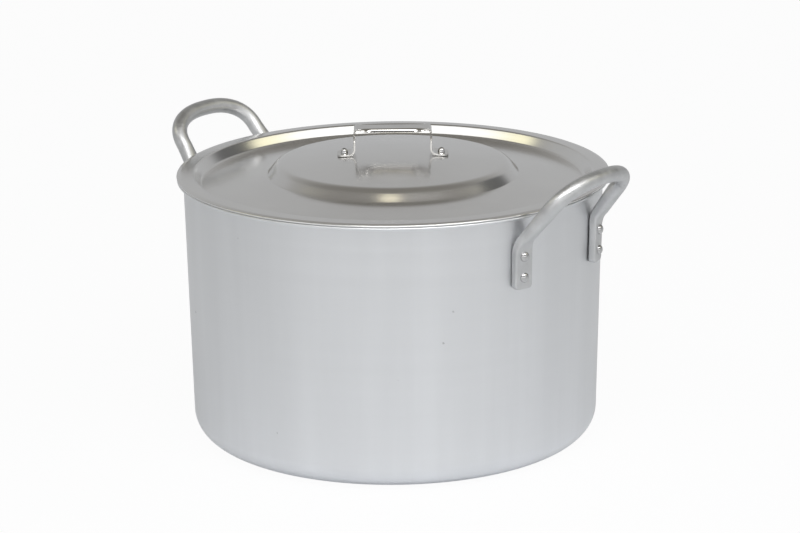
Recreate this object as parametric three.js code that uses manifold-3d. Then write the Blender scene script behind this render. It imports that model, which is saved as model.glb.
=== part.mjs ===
// A large catering pot: a spun aluminium pot with a turned-out rim, two bar handles whose forged tabs are
// riveted to its wall, and a spun lid with a riveted strap handle.
// Millimetres, +Z up, origin at the centre of the base, handles on +X and -X.
import * as THREE from 'three';
import { mergeVertices } from 'three/addons/utils/BufferGeometryUtils.js';
import Module from 'manifold-3d';

const wasm = await Module();
wasm.setup();

// Clearances
const SEAT_GAP = 0.3;
const HOLE_CLEARANCE = 0.3;

// Pot
const POT_RADIUS = 200;
const POT_HEIGHT = 253.2;
const POT_TAPER = 5.4;
const POT_WALL = 3;
const POT_BASE = 4;
const BASE_CORNER = 24.5;
const FLANGE_WIDTH = 6;
const FLANGE_THICKNESS = 2.6;
const RIM_FILLET = 2.5;

// Lid, from its edge to its centre
const LID_SHEET = 2;
const LID_OVERHANG = 0.4;
const LIP_DROP = 0.7;
const LIP_DROP_RUN = 2.7;
const LIP_FALL = 0.6;
const LIP_FILLET = 2.8;
const CHANNEL_CLEARANCE = 7.1;
const CHANNEL_RUN = 7;
const CHANNEL_DEPTH = 8.5;
const CHANNEL_FILLET = 3.5;
const CONE_RISE = 7.1;
const STEP_RADIUS = 120;
const STEP_RUN = 9.9;
const STEP_HEIGHT = 10.5;
const STEP_FILLET = 1.6;
const SHOULDER_FILLET = 20;
const DOME_RISE = 8.2;

// Lid handle, a bent strap
const LID_TURN = THREE.MathUtils.degToRad(38.6);
const STRAP_WIDTH = 23.5;
const STRAP_THICKNESS = 1.8;
const STRAP_HEIGHT = 26.7;
const GRIP_LENGTH = 74.5;
const GRIP_BEND = 3.2;
const GRIP_STRAIGHT = GRIP_LENGTH - STRAP_THICKNESS - 2 * GRIP_BEND;
const FOOT_BEND = 6;
const FOOT_SPAN = 106.2;
const FOOT_CORNER = 7;
const FOLD_FROM = 8;
const FOLD_BEND = 1.8;
const FOLD_TURN = THREE.MathUtils.degToRad(70);
const FOLD_BLEND = 14;

// Lid rivets
const FOOT_RIVET_EDGE = 7;
const LID_RIVET_SPAN = FOOT_SPAN - 2 * FOOT_RIVET_EDGE;
const LID_SHANK_RADIUS = 1.7;
const LID_HEAD_RADIUS = 3.5;
const LID_HEAD_HEIGHT = 4.2;
const LID_TAIL_RADIUS = 3.6;
const LID_TAIL_HEIGHT = 1.2;

// Side handles, round bar with flat tabs
const BAR_RADIUS = 7.5;
const TAB_WIDTH = 19.3;
const TAB_THICKNESS = 7.8;
const TAB_LENGTH = 43;
const TAB_CORNER = 4;
const HANDLE_SPAN = 116.5;
const BEND_BELOW_RIM = 25.2;
const BEND_REACH = 9;
const HANDLE_TILT = THREE.MathUtils.degToRad(38.9);
const LEG_LEAN = THREE.MathUtils.degToRad(7.5);
const LEG_LENGTH = 39;
const LOOP_HEIGHT = 33.6;
const LOOP_POWER = 0.84;
const TAB_SQUARENESS = 6;

// Side rivets
const RIVET_END_DISTANCE = 11.2;
const RIVET_SPACING = 19.6;
const SHANK_RADIUS = 2.6;
const HEAD_RADIUS = 4.7;
const HEAD_HEIGHT = 3.2;
const TAIL_RADIUS = 5.6;
const TAIL_HEIGHT = 1.8;

// Facet counts
const AROUND_POT = 56;
const AROUND_BAR = 16;
const AROUND_RIVET = 12;
const CHORD_TOLERANCE = 0.18;
const EDGE_STEPS = 4;
const CORNER_STEPS = 4;
const DOME_STEPS = 3;
const HEAD_STEPS = 3;
const BEND_STEPS = 6;
const LEG_STEPS = 3;
const LOOP_STEPS = 7;

const Y_AXIS = new THREE.Vector3(0, 1, 0);
const Z_AXIS = new THREE.Vector3(0, 0, 1);

// Makes a closed geometry from vertices and triangles, with its faces pointing out.
function closedGeometry(vertices, triangles) {
  const volume = triangles.reduce((sum, [a, b, c]) => {
    const normal = new THREE.Vector3().crossVectors(vertices[b], vertices[c]);
    return sum + vertices[a].dot(normal);
  }, 0);
  const outward = volume < 0 ? triangles.map(([a, b, c]) => [a, c, b]) : triangles;
  const geometry = new THREE.BufferGeometry().setFromPoints(vertices);
  geometry.setIndex(outward.flat());
  geometry.computeVertexNormals();
  return geometry;
}

// Skins a row of rings. A ring of one point is a pole, and an end ring of several points is closed flat.
function skin(rings) {
  const vertices = rings.flat();
  const triangles = [];
  const last = rings.length - 1;
  let start = 0;
  rings.slice(0, last).forEach((ring, i) => {
    const next = rings[i + 1];
    const nextStart = start + ring.length;
    const count = Math.max(ring.length, next.length);
    for (let j = 0; j < count; j += 1) {
      const k = (j + 1) % count;
      if (ring.length > 1) {
        triangles.push([start + j, start + k, nextStart + (k % next.length)]);
      }
      if (next.length > 1) {
        triangles.push([start + (j % ring.length), nextStart + k, nextStart + j]);
      }
    }
    start = nextStart;
  });
  for (let j = 1; j < rings[0].length - 1; j += 1) {
    triangles.push([0, j + 1, j]);
  }
  for (let j = 1; j < rings[last].length - 1; j += 1) {
    triangles.push([start, start + j, start + j + 1]);
  }
  return closedGeometry(vertices, triangles);
}

// Revolves a profile of radius and height that starts and ends on the axis.
function revolve(profile, count) {
  return skin(profile.map(({ x: radius, y: height }) => {
    if (radius === 0) {
      return [new THREE.Vector3(0, 0, height)];
    }
    return Array.from({ length: count }, (_, i) => {
      const angle = (i / count) * 2 * Math.PI;
      return new THREE.Vector3(radius * Math.cos(angle), radius * Math.sin(angle), height);
    });
  }));
}

// A corner of an outline, with the radius of its fillet.
function corner(x, y, radius = 0) {
  return { at: new THREE.Vector2(x, y), radius };
}

// Follows the corners of an outline and rounds each one by its own radius.
function filletPath(corners) {
  const centreOfTurn = new THREE.Vector2();
  return corners.flatMap(({ at, radius }, i) => {
    if (radius === 0) {
      return [at];
    }
    const back = corners[i - 1].at.clone().sub(at).normalize();
    const ahead = corners[i + 1].at.clone().sub(at).normalize();
    const half = Math.acos(back.dot(ahead)) / 2;
    const turn = Math.sign(ahead.cross(back)) * (Math.PI - 2 * half);
    const centre = back.clone().add(ahead).setLength(radius / Math.sin(half)).add(at);
    const spoke = at.clone().addScaledVector(back, radius / Math.tan(half)).sub(centre);
    const steps = Math.ceil(Math.abs(turn) / (2 * Math.acos(1 - CHORD_TOLERANCE / radius)));
    return Array.from({ length: steps + 1 }, (_, k) => {
      return spoke.clone().rotateAround(centreOfTurn, (turn * k) / steps).add(centre);
    });
  });
}

// Half a turn about a sheet's edge, from its upper face to its lower one.
function edgeRound(radius, height, thickness) {
  return Array.from({ length: EDGE_STEPS - 1 }, (_, k) => {
    const angle = Math.PI / 2 - (Math.PI * (k + 1)) / EDGE_STEPS;
    const x = radius + (thickness / 2) * Math.cos(angle);
    const y = height - thickness / 2 + (thickness / 2) * Math.sin(angle);
    return new THREE.Vector2(x, y);
  });
}

// Moves an outline sideways, to the right of the way it runs, as the other face of a sheet.
function offsetPath(points, distance) {
  return points.map((point, i) => {
    const before = points[Math.max(i - 1, 0)];
    const after = points[Math.min(i + 1, points.length - 1)];
    const along = after.clone().sub(before).normalize();
    const moved = new THREE.Vector2(point.x + along.y * distance, point.y - along.x * distance);
    if (point.x === 0) {
      moved.set(0, point.y - distance);
    }
    return moved;
  });
}

// Turns a geometry into a solid that can be cut.
function solidOf(geometry) {
  const bare = new THREE.BufferGeometry();
  bare.setAttribute('position', geometry.getAttribute('position'));
  bare.setIndex(geometry.getIndex());
  const merged = mergeVertices(bare);
  return new wasm.Manifold(new wasm.Mesh({
    numProp: 3,
    vertProperties: new Float32Array(merged.getAttribute('position').array),
    triVerts: new Uint32Array(merged.getIndex().array),
  }));
}

// Turns a solid back into a geometry.
function geometryOf(solid) {
  const { vertProperties, triVerts } = solid.getMesh();
  const geometry = new THREE.BufferGeometry();
  geometry.setAttribute('position', new THREE.BufferAttribute(vertProperties, 3));
  geometry.setIndex(new THREE.BufferAttribute(triVerts, 1));
  geometry.computeVertexNormals();
  return geometry;
}

// Drills round holes at the given places, each with a point on its axis and the axis itself.
function drill(geometry, places, radius, length) {
  const solid = places.reduce((rest, { point, axis }) => {
    const hole = new THREE.CylinderGeometry(radius, radius, length, AROUND_RIVET);
    hole.applyQuaternion(new THREE.Quaternion().setFromUnitVectors(Y_AXIS, axis));
    hole.translate(point.x, point.y, point.z);
    return rest.subtract(solidOf(hole));
  }, solidOf(geometry));
  return geometryOf(solid);
}

// A rivet along +Z whose formed head sits on the height 0 face of a stack of sheets.
function rivetGeometry({ stack, shank, headRadius, headHeight, tailRadius, tailHeight }) {
  const dome = Array.from({ length: HEAD_STEPS + 1 }, (_, k) => {
    const angle = (k / HEAD_STEPS) * (Math.PI / 2);
    return new THREE.Vector2(headRadius * Math.sin(angle), SEAT_GAP + headHeight * Math.cos(angle));
  });
  const under = -stack - SEAT_GAP;
  const tail = filletPath([
    corner(shank, SEAT_GAP),
    corner(shank, under),
    corner(tailRadius, under),
    corner(tailRadius, under - tailHeight, tailHeight / 2),
    corner(0, under - tailHeight),
  ]);
  return revolve([...dome, ...tail], AROUND_RIVET);
}

// The outer radius of the tapered wall at a height.
function wallRadius(height) {
  return POT_RADIUS - POT_TAPER * (1 - height / POT_HEIGHT);
}

// The section of the pot: out along the base, up the wall, round the rim and back inside.
function potProfile() {
  const edge = POT_RADIUS + FLANGE_WIDTH - FLANGE_THICKNESS / 2;
  const flangeUnder = POT_HEIGHT - FLANGE_THICKNESS;
  const outside = filletPath([
    corner(0, 0),
    corner(wallRadius(0), 0, BASE_CORNER),
    corner(wallRadius(flangeUnder), flangeUnder, RIM_FILLET),
    corner(edge, flangeUnder),
  ]);
  const inside = filletPath([
    corner(edge, POT_HEIGHT),
    corner(POT_RADIUS - POT_WALL, POT_HEIGHT, RIM_FILLET + POT_WALL),
    corner(wallRadius(POT_BASE) - POT_WALL, POT_BASE, BASE_CORNER - POT_WALL),
    corner(0, POT_BASE),
  ]);
  return [...outside, ...edgeRound(edge, POT_HEIGHT, FLANGE_THICKNESS).reverse(), ...inside];
}

// Heights of the lid's upper face
const LIP_TOP = POT_HEIGHT + SEAT_GAP + LID_SHEET;
const CHANNEL_FLOOR = LIP_TOP - CHANNEL_DEPTH;
const STEP_FOOT = CHANNEL_FLOOR + CONE_RISE;
const SHOULDER = STEP_FOOT + STEP_HEIGHT;
const PLATEAU_RADIUS = STEP_RADIUS - STEP_RUN;

// The height of the domed plateau at a radius, and its slope there.
function domeHeight(radius) {
  return SHOULDER + DOME_RISE * (1 - (radius / PLATEAU_RADIUS) ** 2);
}
function domeSlope(radius) {
  return (-2 * DOME_RISE * radius) / PLATEAU_RADIUS ** 2;
}

// The section of the lid: its upper face from centre to edge, then its lower face back to the centre.
function lidProfile() {
  const lipInner = POT_RADIUS - POT_WALL - CHANNEL_CLEARANCE;
  const edge = POT_RADIUS + FLANGE_WIDTH + LID_OVERHANG - LID_SHEET / 2;
  const dome = Array.from({ length: DOME_STEPS }, (_, k) => {
    const radius = (k / DOME_STEPS) * PLATEAU_RADIUS;
    return corner(radius, domeHeight(radius));
  });
  const upper = filletPath([
    ...dome,
    corner(PLATEAU_RADIUS, SHOULDER, SHOULDER_FILLET),
    corner(STEP_RADIUS, STEP_FOOT, STEP_FILLET),
    corner(lipInner - CHANNEL_RUN, CHANNEL_FLOOR, CHANNEL_FILLET),
    corner(lipInner, LIP_TOP + LIP_DROP + LIP_FALL, LIP_FILLET),
    corner(edge - LIP_DROP_RUN, LIP_TOP + LIP_DROP),
    corner(edge, LIP_TOP),
  ]);
  const lower = offsetPath(upper, LID_SHEET).reverse();
  return [...upper, ...edgeRound(edge, LIP_TOP, LID_SHEET), ...lower];
}

// Where the two lid rivets pass, on the strap feet's upper face: the feet lie along the dome.
function lidRivetPlaces() {
  return [1, -1].map((side) => {
    const radius = LID_RIVET_SPAN / 2;
    const axis = new THREE.Vector3(-side * domeSlope(radius), 0, 1).normalize();
    const point = new THREE.Vector3(side * radius, 0, domeHeight(radius));
    point.addScaledVector(axis, SEAT_GAP + STRAP_THICKNESS);
    return { point, axis };
  });
}

// The strap's middle line in its own upright plane, from one foot's tip to the other's.
function strapPath() {
  const radius = LID_RIVET_SPAN / 2;
  const lift = (SEAT_GAP + STRAP_THICKNESS / 2) * Math.hypot(1, domeSlope(radius));
  const footAt = (x) => domeHeight(radius) + domeSlope(radius) * (x - radius) + lift;
  const leg = (GRIP_LENGTH - STRAP_THICKNESS) / 2;
  const top = domeHeight(radius) + SEAT_GAP + STRAP_HEIGHT - STRAP_THICKNESS / 2;
  const bend = Math.min(FOOT_BEND, radius - LID_HEAD_RADIUS - leg);
  const half = [
    corner(FOOT_SPAN / 2, footAt(FOOT_SPAN / 2)),
    corner(leg, footAt(leg), bend),
    corner(leg, top, GRIP_BEND),
    corner((GRIP_STRAIGHT - FOLD_BLEND) / 2, top),
    corner(GRIP_STRAIGHT / 2 - FOLD_BLEND, top),
  ];
  const mirrored = half.map(({ at, radius: fillet }) => corner(-at.x, at.y, fillet)).reverse();
  return filletPath([...half, ...mirrored]);
}

// Where a point of the strap's flat section comes to lie when the long edges are folded down by an angle.
function foldedPoint(across, reach, turn) {
  const past = Math.max(0, Math.abs(across) - FOLD_FROM);
  if (past === 0 || turn === 0) {
    return { side: across, out: reach };
  }
  const bent = Math.min(past, FOLD_BEND);
  const angle = (turn * bent) / FOLD_BEND;
  const radius = FOLD_BEND / turn;
  const side = FOLD_FROM + radius * Math.sin(angle) + (past - bent) * Math.cos(angle);
  const fall = radius * (1 - Math.cos(angle)) + (past - bent) * Math.sin(angle);
  return { side: Math.sign(across) * (side + reach * Math.sin(angle)), out: reach * Math.cos(angle) - fall };
}

// The strap: a flat section led along its path, its long edges folded down over the grip.
function strapGeometry() {
  const path = strapPath();
  const edge = [FOLD_FROM, FOLD_FROM + FOLD_BEND / 2, FOLD_FROM + FOLD_BEND, STRAP_WIDTH / 2];
  const flat = [...edge.map((y) => -y).reverse(), ...edge];
  const rings = path.map((point, i) => {
    const before = path[Math.max(i - 1, 0)];
    const after = path[Math.min(i + 1, path.length - 1)];
    const along = after.clone().sub(before).normalize();
    const inner = (GRIP_STRAIGHT / 2 - Math.abs(point.x)) / FOLD_BLEND;
    const turn = FOLD_TURN * THREE.MathUtils.smoothstep(inner, 0, 1);
    const row = (face) => flat.map((y) => {
      const { side, out } = foldedPoint(y, (face * STRAP_THICKNESS) / 2, turn);
      return new THREE.Vector3(point.x + along.y * out, side, point.y - along.x * out);
    });
    return [...row(1), ...row(-1).reverse()];
  });
  const strap = solidOf(skin(rings));
  return geometryOf(strap.intersect(solidOf(footOutline())));
}

// The strap's plan outline with rounded foot corners, as a tall block to trim the strap with.
function footOutline() {
  const x = FOOT_SPAN / 2;
  const y = STRAP_WIDTH / 2;
  const shape = new THREE.Shape();
  shape.moveTo(x, y - FOOT_CORNER);
  shape.absarc(x - FOOT_CORNER, y - FOOT_CORNER, FOOT_CORNER, 0, Math.PI / 2);
  shape.absarc(FOOT_CORNER - x, y - FOOT_CORNER, FOOT_CORNER, Math.PI / 2, Math.PI);
  shape.absarc(FOOT_CORNER - x, FOOT_CORNER - y, FOOT_CORNER, Math.PI, 1.5 * Math.PI);
  shape.absarc(x - FOOT_CORNER, FOOT_CORNER - y, FOOT_CORNER, 1.5 * Math.PI, 2 * Math.PI);
  const depth = 2 * STRAP_HEIGHT;
  const block = new THREE.ExtrudeGeometry(shape, { depth, bevelEnabled: false, curveSegments: CORNER_STEPS });
  block.translate(0, 0, SHOULDER);
  return block;
}

// The direction up the tapered wall and the direction square out of it, at an angle round the pot.
function wallFrame(angle) {
  const slope = POT_TAPER / POT_HEIGHT;
  const radial = new THREE.Vector3(Math.cos(angle), Math.sin(angle), 0);
  const up = radial.clone().multiplyScalar(slope).add(Z_AXIS).normalize();
  const out = radial.clone().addScaledVector(Z_AXIS, -slope).normalize();
  return { radial, up, out };
}

// One tab of the handle on +X: where its middle line ends below and meets the leg above.
function tabPlace(side) {
  const bendHeight = POT_HEIGHT - BEND_BELOW_RIM;
  const lift = SEAT_GAP + TAB_THICKNESS / 2;
  const angle = side * Math.asin(HANDLE_SPAN / 2 / (wallRadius(bendHeight) + lift));
  const { radial, up, out } = wallFrame(angle);
  const bend = radial.clone().multiplyScalar(wallRadius(bendHeight));
  bend.addScaledVector(Z_AXIS, bendHeight).addScaledVector(out, lift);
  const end = bend.clone().addScaledVector(up, -TAB_LENGTH);
  return { bend, end, up, out };
}

// Where the rivets of the handle on +X pass, on the tabs' outer face.
function sideRivetPlaces() {
  return [-1, 1].flatMap((side) => {
    const { end, up, out } = tabPlace(side);
    return [0, 1].map((row) => {
      const point = end.clone().addScaledVector(up, RIVET_END_DISTANCE + row * RIVET_SPACING);
      return { point: point.addScaledVector(out, TAB_THICKNESS / 2), axis: out };
    });
  });
}

// Half of the handle's middle line, from the end of one tab to the top of the loop. Each station has its
// place, the direction of the section's thickness, how round the section is and how far the tab's end is.
function handleStations() {
  const { bend, end, up, out } = tabPlace(1);
  const plane = new THREE.Vector3(Math.sin(HANDLE_TILT), 0, Math.cos(HANDLE_TILT));
  const across = new THREE.Vector3(Math.cos(HANDLE_TILT), 0, -Math.sin(HANDLE_TILT));
  const leg = plane.clone().multiplyScalar(Math.cos(LEG_LEAN)).addScaledVector(Y_AXIS, -Math.sin(LEG_LEAN));
  const tab = Array.from({ length: CORNER_STEPS + 1 }, (_, k) => {
    const endDistance = TAB_CORNER * (1 - Math.cos((k / CORNER_STEPS) * (Math.PI / 2)));
    return { at: end.clone().addScaledVector(up, endDistance), thick: out, round: 0, endDistance };
  });
  const turn = new THREE.QuadraticBezierCurve3(
    bend.clone().addScaledVector(up, -BEND_REACH),
    bend,
    bend.clone().addScaledVector(leg, BEND_REACH),
  );
  const bendPart = turn.getPoints(BEND_STEPS).map((at, k) => {
    const share = k / BEND_STEPS;
    const thick = out.clone().lerp(across, share).normalize();
    return { at, thick, round: share ** 2 / 2, endDistance: TAB_CORNER };
  });
  const legPart = Array.from({ length: LEG_STEPS }, (_, k) => {
    const share = (k + 1) / LEG_STEPS;
    const distance = THREE.MathUtils.lerp(BEND_REACH, LEG_LENGTH, share);
    const at = bend.clone().addScaledVector(leg, distance);
    return { at, thick: across, round: (1 + share) / 2, endDistance: TAB_CORNER };
  });
  const loopStart = bend.clone().addScaledVector(leg, LEG_LENGTH);
  const loopPart = Array.from({ length: LOOP_STEPS }, (_, k) => {
    const angle = ((k + 1) / LOOP_STEPS) * (Math.PI / 2);
    const rise = LOOP_HEIGHT * Math.sin(angle) ** LOOP_POWER;
    const at = loopStart.clone().addScaledVector(plane, rise);
    at.y = k + 1 === LOOP_STEPS ? 0 : loopStart.y * Math.cos(angle) ** LOOP_POWER;
    return { at, thick: across, round: 1, endDistance: TAB_CORNER };
  });
  return [...tab, ...bendPart, ...legPart, ...loopPart];
}

// The handle on +X: a section led along the middle line, a flat bar at the tabs and a round one at the loop.
function handleGeometry() {
  const half = handleStations();
  const mirror = new THREE.Vector3(1, -1, 1);
  const otherHalf = half.slice(0, -1).reverse().map((station) => ({
    ...station,
    at: station.at.clone().multiply(mirror),
    thick: station.thick.clone().multiply(mirror),
  }));
  const stations = [...half, ...otherHalf];
  const rings = stations.map(({ at, thick, round, endDistance }, i) => {
    const before = stations[Math.max(i - 1, 0)].at;
    const after = stations[Math.min(i + 1, stations.length - 1)].at;
    const along = after.clone().sub(before).normalize();
    const depth = thick.clone().addScaledVector(along, -thick.dot(along)).normalize();
    const side = new THREE.Vector3().crossVectors(along, depth);
    const trimmed = TAB_CORNER - Math.sqrt(TAB_CORNER ** 2 - (TAB_CORNER - endDistance) ** 2);
    const halfWidth = THREE.MathUtils.lerp(TAB_WIDTH / 2 - trimmed, BAR_RADIUS, round);
    const halfDepth = THREE.MathUtils.lerp(TAB_THICKNESS / 2, BAR_RADIUS, round);
    const power = THREE.MathUtils.lerp(2 / TAB_SQUARENESS, 1, round);
    return Array.from({ length: AROUND_BAR }, (_, k) => {
      const angle = (k / AROUND_BAR) * 2 * Math.PI;
      const wide = Math.sign(Math.cos(angle)) * Math.abs(Math.cos(angle)) ** power;
      const deep = Math.sign(Math.sin(angle)) * Math.abs(Math.sin(angle)) ** power;
      const point = at.clone().addScaledVector(side, wide * halfWidth);
      return point.addScaledVector(depth, deep * halfDepth);
    });
  });
  return skin(rings);
}

// A named mesh with a metal finish of its own.
function metalMesh(name, geometry, { color, roughness }) {
  const material = new THREE.MeshStandardMaterial({ color, roughness, metalness: 1 });
  const mesh = new THREE.Mesh(geometry, material);
  mesh.name = name;
  return mesh;
}

// A rivet set at a place, with its head outward.
function rivetMesh(name, { point, axis }, sizes, finish) {
  const mesh = metalMesh(name, rivetGeometry(sizes), finish);
  mesh.position.copy(point);
  mesh.quaternion.setFromUnitVectors(Z_AXIS, axis);
  return mesh;
}

const SATIN = { color: 0xc3c5c9, roughness: 0.42 };
const POLISHED = { color: 0xb4b3b1, roughness: 0.18 };
const FORGED = { color: 0xb8babe, roughness: 0.36 };
const BRIGHT = { color: 0xcbcbcd, roughness: 0.22 };

// How far the inside of the wall comes in between two facet edges, and under the width of a rivet's tail
const FACET_SAG = POT_RADIUS * (1 - Math.cos(Math.PI / AROUND_POT));
const TAIL_SAG = TAIL_RADIUS ** 2 / (2 * POT_RADIUS);
const SIDE_STACK = TAB_THICKNESS + SEAT_GAP + POT_WALL + FACET_SAG + TAIL_SAG;
const LID_STACK = STRAP_THICKNESS + SEAT_GAP + LID_SHEET;

const sideRivetSizes = {
  stack: SIDE_STACK,
  shank: SHANK_RADIUS,
  headRadius: HEAD_RADIUS,
  headHeight: HEAD_HEIGHT,
  tailRadius: TAIL_RADIUS,
  tailHeight: TAIL_HEIGHT,
};
const lidRivetSizes = {
  stack: LID_STACK,
  shank: LID_SHANK_RADIUS,
  headRadius: LID_HEAD_RADIUS,
  headHeight: LID_HEAD_HEIGHT,
  tailRadius: LID_TAIL_RADIUS,
  tailHeight: LID_TAIL_HEIGHT,
};

// The pot, pierced for the rivets of both handles.
function makePot() {
  const right = sideRivetPlaces();
  const left = right.map(({ point, axis }) => ({
    point: point.clone().applyAxisAngle(Z_AXIS, Math.PI),
    axis: axis.clone().applyAxisAngle(Z_AXIS, Math.PI),
  }));
  const radius = SHANK_RADIUS + HOLE_CLEARANCE;
  const pot = drill(revolve(potProfile(), AROUND_POT), [...right, ...left], radius, 4 * SIDE_STACK);
  return metalMesh('pot_body', pot, SATIN);
}

// One side handle with its rivets, turned to its side of the pot.
function makeSideHandle(sideName, turn) {
  const places = sideRivetPlaces();
  const radius = SHANK_RADIUS + HOLE_CLEARANCE;
  const bar = drill(handleGeometry(), places, radius, 4 * SIDE_STACK);
  const ends = ['front', 'rear'];
  const rows = ['low', 'high'];
  const rivets = places.map((place, i) => {
    const name = `side_rivet_${sideName}_${ends[Math.floor(i / 2)]}_${rows[i % 2]}`;
    return rivetMesh(name, place, sideRivetSizes, BRIGHT);
  });
  const handle = new THREE.Group();
  handle.add(metalMesh(`side_handle_${sideName}`, bar, FORGED), ...rivets);
  handle.rotation.z = turn;
  return handle;
}

// The lid with its strap handle and rivets, turned on its seat.
function makeLid() {
  const places = lidRivetPlaces();
  const radius = LID_SHANK_RADIUS + HOLE_CLEARANCE;
  const lid = drill(revolve(lidProfile(), AROUND_POT), places, radius, 4 * LID_STACK);
  const strap = drill(strapGeometry(), places, radius, 4 * LID_STACK);
  const rivets = places.map((place, i) => {
    return rivetMesh(`lid_rivet_${'ab'[i]}`, place, lidRivetSizes, BRIGHT);
  });
  const group = new THREE.Group();
  group.add(metalMesh('lid', lid, POLISHED), metalMesh('lid_handle', strap, BRIGHT), ...rivets);
  group.rotation.z = LID_TURN;
  return group;
}

const cookingPot = new THREE.Group();
cookingPot.add(makePot(), makeSideHandle('right', 0), makeSideHandle('left', Math.PI), makeLid());

export default cookingPot;
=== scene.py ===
"""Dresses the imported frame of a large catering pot: spun metal, forged handles, rivets and studio."""
import logging
import math
from collections.abc import Iterable, Sequence
from dataclasses import dataclass, field
from enum import Enum

import bmesh
import bpy
from mathutils import Matrix, Vector


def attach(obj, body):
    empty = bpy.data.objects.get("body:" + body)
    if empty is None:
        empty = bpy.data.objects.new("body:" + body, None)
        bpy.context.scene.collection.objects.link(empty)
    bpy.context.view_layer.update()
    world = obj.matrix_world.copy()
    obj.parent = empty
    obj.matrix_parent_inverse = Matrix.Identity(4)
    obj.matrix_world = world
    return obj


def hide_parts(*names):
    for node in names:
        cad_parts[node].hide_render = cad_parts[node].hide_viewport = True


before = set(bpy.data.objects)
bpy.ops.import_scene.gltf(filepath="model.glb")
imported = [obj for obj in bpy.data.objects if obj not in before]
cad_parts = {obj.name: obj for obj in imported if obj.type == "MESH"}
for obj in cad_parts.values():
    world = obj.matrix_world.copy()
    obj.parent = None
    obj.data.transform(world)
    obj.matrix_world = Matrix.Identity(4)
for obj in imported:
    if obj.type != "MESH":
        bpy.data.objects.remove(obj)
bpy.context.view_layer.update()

LOG = logging.getLogger("cooking_pot")

Tree = bpy.types.NodeTree
Node = bpy.types.Node
Socket = bpy.types.NodeSocket
Mesh = bpy.types.Mesh
Piece = bpy.types.Object
Triple = tuple[float, float, float]
Colour = tuple[float, float, float]
Span = tuple[float, float]
Seat = tuple[Vector, Vector]
Station = tuple[Vector, Vector, float, float]

MM = 0.001
UP = Vector((0.0, 0.0, 1.0))
WHITE: Colour = (1.0, 1.0, 1.0)
RISING: Span = (0.0, 1.0)
FALLING: Span = (1.0, 0.0)


class Side(Enum):
    """The side of the pot that a handle is on, with its turn about the upright axis."""

    RIGHT = 0.0
    LEFT = math.pi

    @property
    def label(self) -> str:
        """The side as it stands in the names of nodes."""
        return self.name.lower()


class LampShape(Enum):
    """The outline of a soft lamp."""

    PANEL = "RECTANGLE"
    OVAL = "ELLIPSE"


class Grain(Enum):
    """How the metal was worked, which sets the way its fine lines run."""

    TURNED = "turned"
    DRAWN = "drawn"
    FORGED = "forged"


# Node trees


def link(tree: Tree, source: Socket, target: Socket) -> None:
    """Joins two sockets of a tree."""
    tree.links.new(source, target)


def feed(tree: Tree, socket: Socket, value: object) -> None:
    """Gives a socket a value, or joins it to another socket.

    Args:
        tree: The tree that holds the socket.
        socket: The input that is fed.
        value: A socket to join, or a plain value to set.
    """
    if isinstance(value, bpy.types.NodeSocket):
        link(tree, value, socket)
    else:
        socket.default_value = value


def add(tree: Tree, kind: str, feeds: dict[str | int, object], **settings: object) -> Node:
    """Adds a node, sets it up and feeds its inputs.

    Args:
        tree: The tree that gets the node.
        kind: The type of the node.
        feeds: Values or sockets for the node's inputs, by name or number.
        settings: The node's own settings by name.

    Returns:
        The node.
    """
    node = tree.nodes.new(kind)
    for name, value in settings.items():
        setattr(node, name, value)
    for key, value in feeds.items():
        feed(tree, node.inputs[key], value)
    return node


def math_node(tree: Tree, operation: str, *values: object) -> Socket:
    """Adds a Math node.

    Args:
        tree: The tree that gets the node.
        operation: The name of the operation.
        values: Numbers or sockets, in the order of the node's inputs.

    Returns:
        The socket with the result.
    """
    return add(tree, "ShaderNodeMath", dict(enumerate(values)), operation=operation).outputs[0]


def vector_node(tree: Tree, operation: str, *values: object) -> Socket:
    """Adds a Vector Math node that puts out a vector.

    Args:
        tree: The tree that gets the node.
        operation: The name of the operation.
        values: Vectors or sockets, in the order of the node's inputs.

    Returns:
        The socket with the resulting vector.
    """
    return add(tree, "ShaderNodeVectorMath", dict(enumerate(values)), operation=operation).outputs["Vector"]


def scaled(tree: Tree, vector: object, factor: object) -> Socket:
    """Adds a node that multiplies a vector by a number.

    Args:
        tree: The tree that gets the node.
        vector: The vector or its socket.
        factor: The number or its socket.

    Returns:
        The socket with the longer or shorter vector.
    """
    feeds = {0: vector, "Scale": factor}
    return add(tree, "ShaderNodeVectorMath", feeds, operation="SCALE").outputs["Vector"]


def span_node(tree: Tree, value: object, source: Span, target: Span) -> Socket:
    """Adds a Map Range node that is clamped and smooth.

    Args:
        tree: The tree that gets the node.
        value: The socket to map.
        source: The range that it comes from.
        target: The range that it goes to.

    Returns:
        The socket with the mapped value.
    """
    ends = dict(zip(("From Min", "From Max", "To Min", "To Max"), (*source, *target)))
    node = add(tree, "ShaderNodeMapRange", {"Value": value, **ends}, interpolation_type="SMOOTHSTEP")
    return node.outputs["Result"]


def mixed(tree: Tree, share: object, first: object, second: object) -> Socket:
    """Adds a node that mixes two colours.

    Args:
        tree: The tree that gets the node.
        share: The share of the second colour.
        first: The first colour or its socket.
        second: The second colour or its socket.

    Returns:
        The socket with the mixed colour.
    """
    node = add(tree, "ShaderNodeMix", {"Factor": share}, data_type="RGBA")
    colours = [socket for socket in node.inputs if socket.type == "RGBA"]
    for socket, colour in zip(colours, (first, second)):
        feed(tree, socket, colour)
    return next(socket for socket in node.outputs if socket.type == "RGBA")


def opaque(colour: Iterable[float]) -> tuple[float, ...]:
    """A colour with full cover, as sockets take it."""
    return (*colour, 1.0)


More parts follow.
